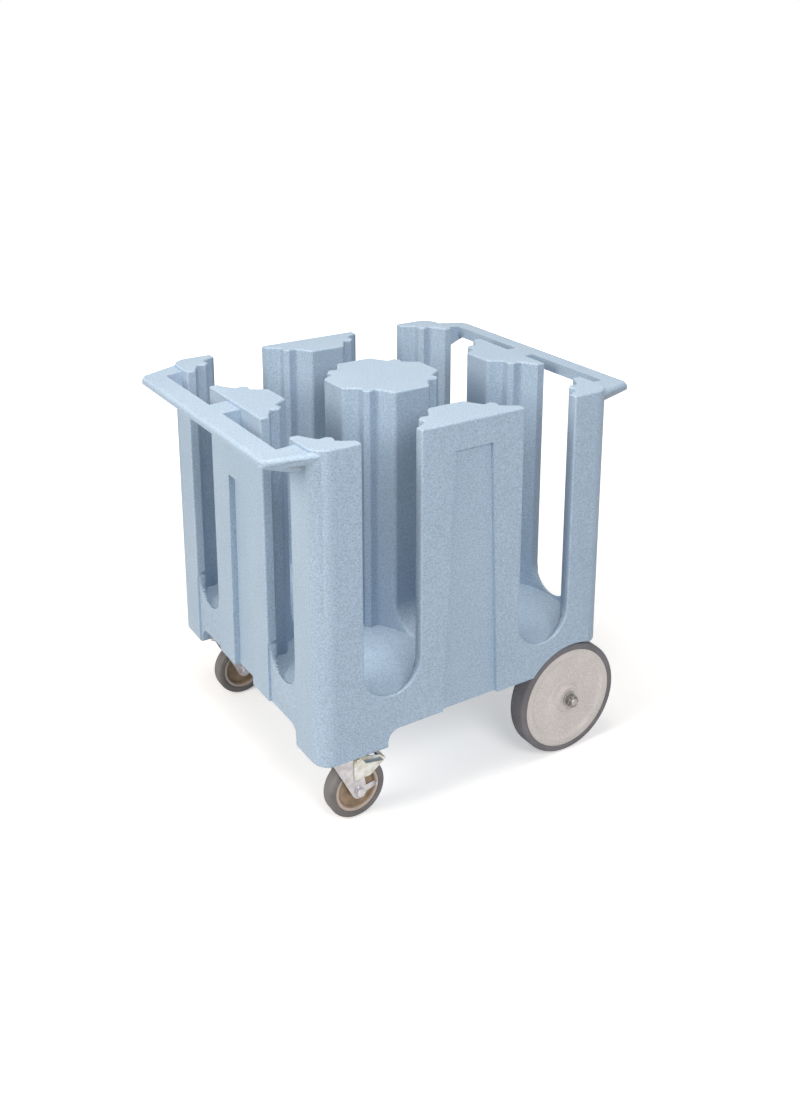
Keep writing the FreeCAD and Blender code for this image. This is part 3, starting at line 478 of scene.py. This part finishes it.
# Painted highlight: the core's colour is mixed towards a pale tone in a ring near its rim, where the rim's
# lip catches the light.
spot = nodes.new("ShaderNodeTexCoord")
from_axle = nodes.new("ShaderNodeVectorMath")
from_axle.operation = "SUBTRACT"
from_axle.inputs[1].default_value = (small_x * mm, 0, small_z * mm)
across = nodes.new("ShaderNodeVectorMath")
across.operation = "MULTIPLY"
across.inputs[1].default_value = (1, 0, 1)
radius = nodes.new("ShaderNodeVectorMath")
radius.operation = "LENGTH"
rim = nodes.new("ShaderNodeMapRange")
rim.inputs["From Min"].default_value = highlight_inner
rim.inputs["From Max"].default_value = highlight_outer
rim.inputs["To Max"].default_value = highlight_share
painted_highlight = nodes.new("ShaderNodeMix")
painted_highlight.data_type = "RGBA"
painted_highlight.inputs["B"].default_value = highlight_tone
links.new(spot.outputs["Object"], from_axle.inputs[0])
links.new(from_axle.outputs["Vector"], across.inputs[0])
links.new(across.outputs["Vector"], radius.inputs[0])
links.new(radius.outputs["Value"], rim.inputs["Value"])
links.new(rim.outputs[0], painted_highlight.inputs["Factor"])
links.new(plain, painted_highlight.inputs["A"])
links.new(painted_highlight.outputs["Result"], shader.inputs["Base Color"])
tread_grey = finished("caster_tread", (0.185, 0.180, 0.182), (0.140, 0.136, 0.138), drift=30.0, grain=700.0,
                      speckle=0.6, rough=(0.5, 0.75), bump=0.35, depth=0.0003)
core_outline = rounded_outline(two_faced([
    (9.55, 18.0, 0), (15.2, 18.0, 1.2), (17.4, 12.0, 2.0), (19.5, 5.0, 2.5), (38.5, 4.5, 3.0),
    (42.2, 13.4, 1.5), (44.0, 14.5, 0.8), (48.9, 14.5, 0.6)]))
tread_outline = rounded_outline(two_faced([
    (49.1, 14.0, 0), (49.1, 15.4, 0.3), (50.4, 16.0, 0.5), (55.0, 16.0, 2.0), (63.5, 14.6, 6.0)]))
for hand in ("left", "right"):
    for node, width in (("caster_fork_", 0.0009), ("caster_axle_strap_", 0.0006),
                        ("caster_axle_bolt_", 0.0006), ("caster_axle_nut_", 0.0006),
                        ("caster_bearing_sleeve_", 0.0003)):
        stands_for(softened(node + hand, width), node + hand, zinc)
    core = turned("caster_core_" + hand, placed(core_outline, small_y, hand), small_x * mm, small_z * mm,
                  core_turns)
    stands_for(core, "caster_wheel_core_" + hand, core_brown)
    tread = turned("caster_tread_" + hand, placed(tread_outline, small_y, hand), small_x * mm, small_z * mm,
                   core_turns)
    stands_for(tread, "caster_tyre_" + hand, tread_grey)
    stands_for(softened("caster_wheel_bush_" + hand, 0.0003), "caster_wheel_bush_" + hand, bush_plastic)


# ---------------------------------------------------------------------------------------------
# Brakes. A pressed, yellow-passivated lever that turns on a pin through the fork's ears, with a foot
# tab, and a rubber pad under its bridge that presses on the tread.

yellow_zinc = finished("yellow_zinc", (0.80, 0.83, 0.83), (0.58, 0.55, 0.45), drift=60.0, grain=900.0,
                       rough=(0.28, 0.48), bump=0.2, depth=0.0001, metallic=1.0)
for hand in ("left", "right"):
    for node in ("brake_lever_", "brake_pivot_pin_"):
        stands_for(softened(node + hand, 0.0006), node + hand, yellow_zinc)
    stands_for(softened("brake_pad_" + hand, 0.0008), "brake_pad_" + hand, tread_grey)
